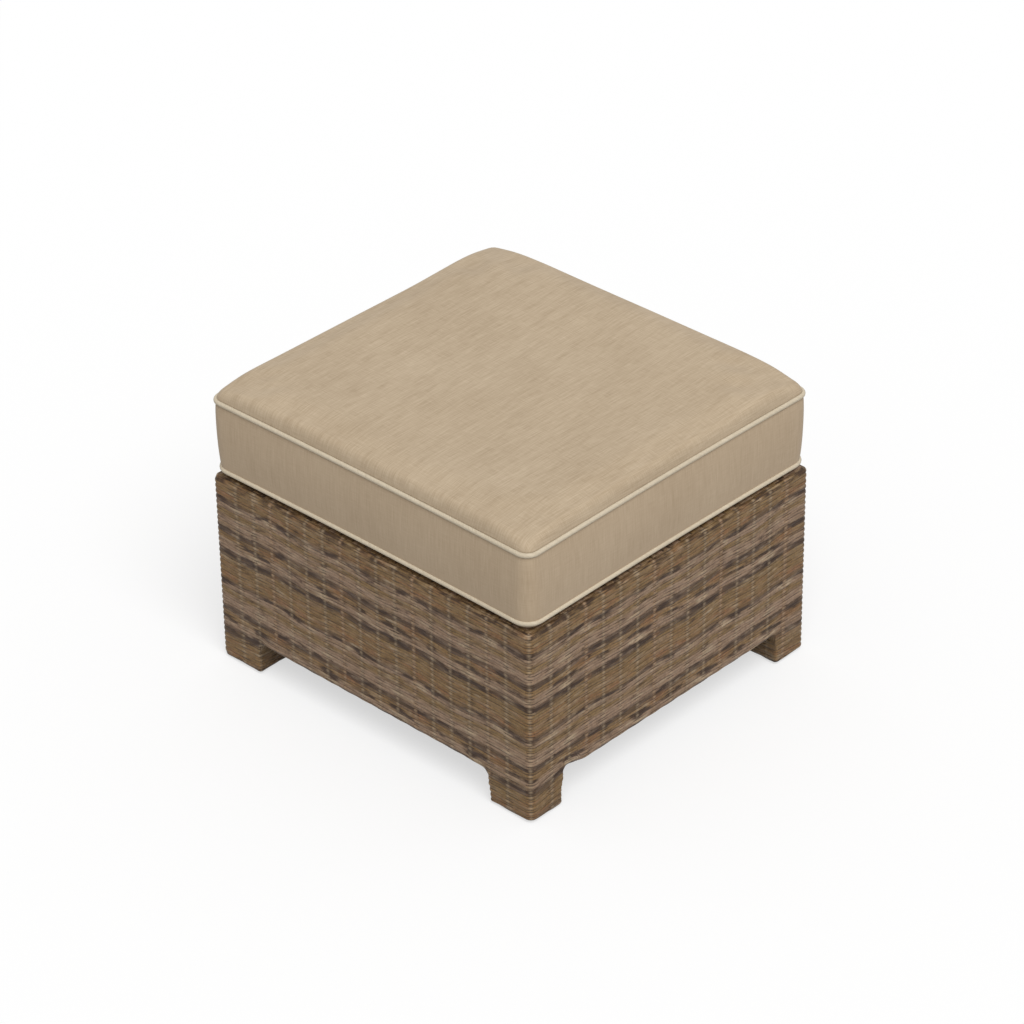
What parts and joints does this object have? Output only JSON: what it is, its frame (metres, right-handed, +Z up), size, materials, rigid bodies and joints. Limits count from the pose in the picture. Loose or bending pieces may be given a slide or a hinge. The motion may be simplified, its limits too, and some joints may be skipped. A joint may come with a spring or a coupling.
{
  "type": "outdoor ottoman footstool",
  "caption": "Square woven resin-wicker footstool on short square feet, with a lift-off box cushion piped round its top and bottom seams and zipped at the back.",
  "frame": {"origin": "on the floor under the middle of the footstool's overall box", "axes": "+Z up, +X to the right along the 635 mm width, the front faces -Y and the cushion's zip faces +Y"},
  "size_m": [0.635, 0.6, 0.476],
  "materials": {
    "frame_coating": "satin",
    "wicker": "satin",
    "glide_nylon": "matte",
    "screw_steel": "satin",
    "cover_fabric": "matte",
    "piping_fabric": "matte",
    "foam": "matte",
    "fibre": "matte",
    "zip_tape": "matte",
    "zip_metal": "satin"
  },
  "bodies": {
    "base": {"leg_front_left": "frame_coating", "leg_front_right": "frame_coating", "leg_back_left": "frame_coating", "leg_back_right": "frame_coating", "top_rail_front": "frame_coating", "low_rail_front": "frame_coating", "upright_front": "frame_coating", "top_rail_right": "frame_coating", "low_rail_right": "frame_coating", "upright_right": "frame_coating", "top_rail_back": "frame_coating", "low_rail_back": "frame_coating", "upright_back": "frame_coating", "top_rail_left": "frame_coating", "low_rail_left": "frame_coating", "upright_left": "frame_coating", "deck_bar_1": "frame_coating", "deck_bar_2": "frame_coating", "deck_bar_3": "frame_coating", "woven_corner_front_left": "wicker", "woven_corner_front_right": "wicker", "woven_corner_back_left": "wicker", "woven_corner_back_right": "wicker", "foot_lining_front_left": "wicker", "foot_lining_front_right": "wicker", "foot_lining_back_left": "wicker", "foot_lining_back_right": "wicker", "woven_side_front": "wicker", "woven_side_right": "wicker", "woven_side_back": "wicker", "woven_side_left": "wicker", "woven_deck": "wicker", "tube_plug_front_left": "glide_nylon", "glide_front_left": "glide_nylon", "glide_screw_front_left": "screw_steel", "tube_plug_front_right": "glide_nylon", "glide_front_right": "glide_nylon", "glide_screw_front_right": "screw_steel", "tube_plug_back_left": "glide_nylon", "glide_back_left": "glide_nylon", "glide_screw_back_left": "screw_steel", "tube_plug_back_right": "glide_nylon", "glide_back_right": "glide_nylon", "glide_screw_back_right": "screw_steel"},
    "cushion": {"foam_core": "foam", "fibre_over_foam": "fibre", "fibre_under_foam": "fibre", "top_panel": "cover_fabric", "bottom_panel": "cover_fabric", "boxing_strip": "cover_fabric", "zip_panel_upper": "cover_fabric", "zip_panel_lower": "cover_fabric", "piping_top": "piping_fabric", "piping_bottom": "piping_fabric", "zip_tape_upper": "zip_tape", "zip_tape_lower": "zip_tape"},
    "zip_runner": {"zip_slider": "zip_metal"},
    "zip_tab": {"zip_pull": "zip_metal"}
  },
  "joints": [
    {"name": "cushion_lift", "type": "slide", "parent": "base", "child": "cushion", "axis": [0, 0, 1], "range_m": [0, 0.25]},
    {"name": "zip_slide", "type": "slide", "parent": "cushion", "child": "zip_runner", "axis": [1, 0, 0], "range_m": [0, 0.428]},
    {"name": "zip_pull_swing", "type": "hinge", "parent": "zip_runner", "child": "zip_tab", "pos_m": [-0.2145, 0.29765, 0.3895], "axis": [0, 0, -1], "range_deg": [0, 180]}
  ]
}
